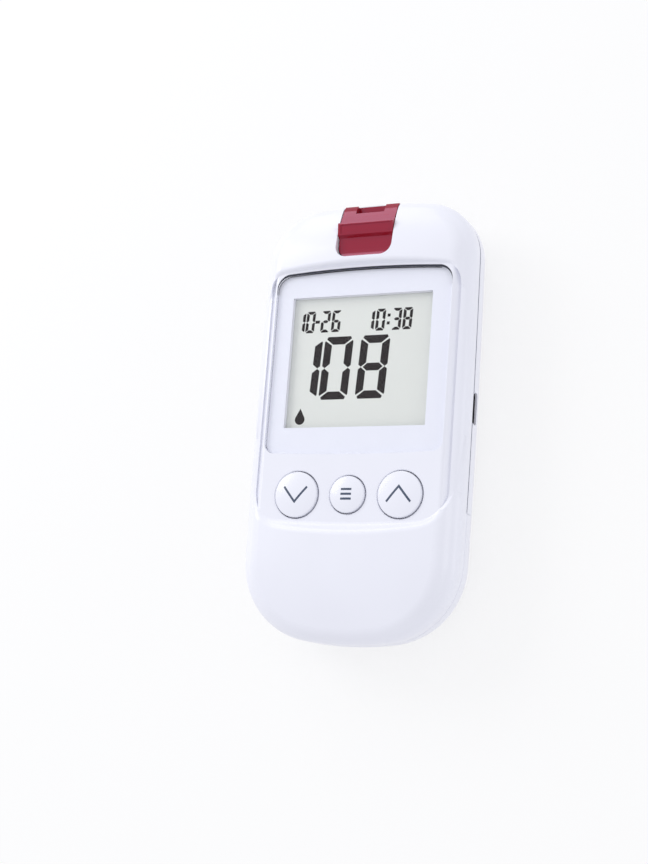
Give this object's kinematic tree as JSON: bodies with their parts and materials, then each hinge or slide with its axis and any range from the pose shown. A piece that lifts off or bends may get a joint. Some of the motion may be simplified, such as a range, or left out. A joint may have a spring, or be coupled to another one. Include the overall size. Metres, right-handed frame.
{
  "type": "blood glucose meter",
  "caption": "Handheld blood glucose meter: rounded white case with a display window, face keys, a sliding strip ejector, a side data port and a sliding battery door.",
  "frame": {"origin": "centre of the case's plan, on the back face", "axes": "+Z out of the display, +Y towards the strip port end, +X towards the data port side"},
  "size_m": [0.0534, 0.104, 0.0191],
  "materials": {
    "case": "moulded white case plastic with a high gloss",
    "key": "moulded white key cap, gloss",
    "lens": "clear acrylic display lens",
    "adhesive": "black double-sided foam adhesive",
    "lcd": "reflective grey-green liquid crystal cell",
    "frame": "natural white display carrier",
    "elastomer": "pink conductive elastomer strip",
    "board": "green solder mask over glass epoxy",
    "chip": "black moulded chip package",
    "can": "tinned shield can",
    "buzzer": "black buzzer case",
    "socket": "nickel-plated socket shell",
    "tongue": "dark socket insert",
    "key_dome": "translucent grey silicone rubber",
    "ejector": "moulded crimson plastic, satin gloss",
    "pusher": "stamped stainless steel",
    "connector": "dark red strip guide",
    "contact": "gold-plated spring contact",
    "spring": "spring steel wire",
    "cell": "wrapped alkaline cell",
    "leaf": "nickel-plated battery leaf",
    "screw": "dark plated steel screw"
  },
  "bodies": {
    "housing": {"front_housing": "case", "back_housing": "case", "display_lens": "lens", "lens_adhesive": "adhesive", "lcd_glass": "lcd", "lcd_frame": "frame", "lcd_connector": "elastomer", "main_board": "board", "processor_chip": "chip", "memory_chip": "chip", "clock_crystal": "can", "wireless_module": "can", "buzzer": "buzzer", "data_socket": "socket", "socket_tongue": "tongue", "key_dome_down": "key_dome", "key_dome_memory": "key_dome", "key_dome_up": "key_dome", "strip_connector": "connector", "strip_contacts": "contact", "battery_left": "cell", "battery_right": "cell", "battery_contacts": "leaf", "housing_screws": "screw"},
    "ejector": {"ejector_slider": "ejector", "strip_pusher": "pusher", "ejector_spring": "spring"},
    "door": {"battery_door": "case"},
    "key_down": {"button_down": "key"},
    "key_memory": {"button_memory": "key"},
    "key_up": {"button_up": "key"}
  },
  "joints": [
    {"name": "press_down", "type": "slide", "parent": "housing", "child": "key_down", "axis": [0, 0, -1], "range_m": [0, 0.0008], "stiffness_N_per_m": 900, "springref_m": -0.0004, "deforming": ["key_dome_down"]},
    {"name": "press_memory", "type": "slide", "parent": "housing", "child": "key_memory", "axis": [0, 0, -1], "range_m": [0, 0.0008], "stiffness_N_per_m": 900, "springref_m": -0.0004, "deforming": ["key_dome_memory"]},
    {"name": "press_up", "type": "slide", "parent": "housing", "child": "key_up", "axis": [0, 0, -1], "range_m": [0, 0.0008], "stiffness_N_per_m": 900, "springref_m": -0.0004, "deforming": ["key_dome_up"]},
    {"name": "slide_ejector", "type": "slide", "parent": "housing", "child": "ejector", "axis": [0, 1, 0], "range_m": [0, 0.005], "stiffness_N_per_m": 250, "springref_m": -0.001},
    {"name": "slide_door_off", "type": "slide", "parent": "housing", "child": "door", "axis": [0, -1, 0], "range_m": [0, 0.06]}
  ]
}
